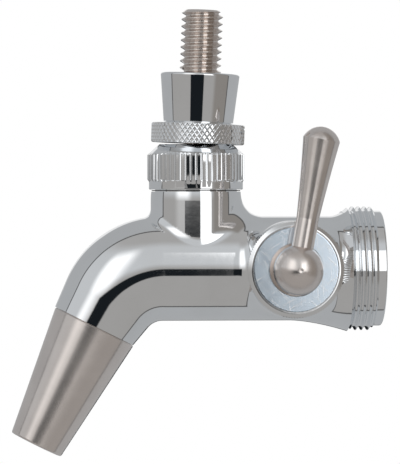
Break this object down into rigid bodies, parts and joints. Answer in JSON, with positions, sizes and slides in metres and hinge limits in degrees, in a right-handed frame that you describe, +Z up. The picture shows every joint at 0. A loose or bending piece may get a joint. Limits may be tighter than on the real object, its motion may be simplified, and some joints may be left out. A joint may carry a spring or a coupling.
{
  "type": "beer faucet",
  "caption": "Forward-sealing beer faucet with a tapered angled spout, an upright threaded tap lever and a side lever that throttles the flow.",
  "frame": {"origin": "centre of the rear end face, where the tap screws onto its shank", "axes": "+X out of the rear coupling along the barrel's axis, towards the shank; +Z up; the spout points along -X and down, and the flow lever is on the -Y side"},
  "size_m": [0.085, 0.0397, 0.1025],
  "materials": {
    "chrome": "mirror-polished",
    "stainless": "satin stainless steel with turned marks",
    "spring_steel": "plain stamped spring steel",
    "rubber": "matt black",
    "acetal": "machined, off-white"
  },
  "bodies": {
    "body": {"faucet_body": "chrome", "spout_nozzle": "stainless", "nozzle_o_ring": "rubber", "coupling_gasket": "rubber", "bonnet": "chrome", "bonnet_gasket": "rubber", "friction_washer": "spring_steel", "upper_ball_cup": "acetal", "ball_o_ring": "rubber", "lower_ball_cup": "acetal", "flow_thrust_washer": "acetal", "flow_retaining_ring": "chrome", "flow_cap_disc": "chrome"},
    "lever": {"tap_lever": "stainless", "lever_jacket": "chrome", "jacket_lock_ring": "chrome"},
    "shaft": {"valve_shaft": "stainless", "shaft_seat_o_ring": "rubber"},
    "flow_control": {"flow_plug": "stainless", "flow_plug_o_ring_inner": "rubber", "flow_plug_o_ring_outer": "rubber", "flow_wave_washer": "spring_steel", "flow_lever_hub": "stainless", "flow_lever_arm": "stainless"}
  },
  "joints": [
    {"name": "lever_pivot", "type": "hinge", "parent": "body", "child": "lever", "pos_m": [-0.04275, 0, 0.019], "axis": [0, -1, 0], "range_deg": [0, 20]},
    {"name": "shaft_slide", "type": "slide", "parent": "body", "child": "shaft", "axis": [1, 0, 0], "range_m": [0, 0.0066]},
    {"name": "flow_lever_pivot", "type": "hinge", "parent": "body", "child": "flow_control", "pos_m": [-0.0212, 0, 0], "axis": [0, -1, 0], "range_deg": [0, 90]}
  ],
  "couplings": [
    {"joint": "shaft_slide", "follows": "lever_pivot", "m_per_rad": 0.01874}
  ]
}
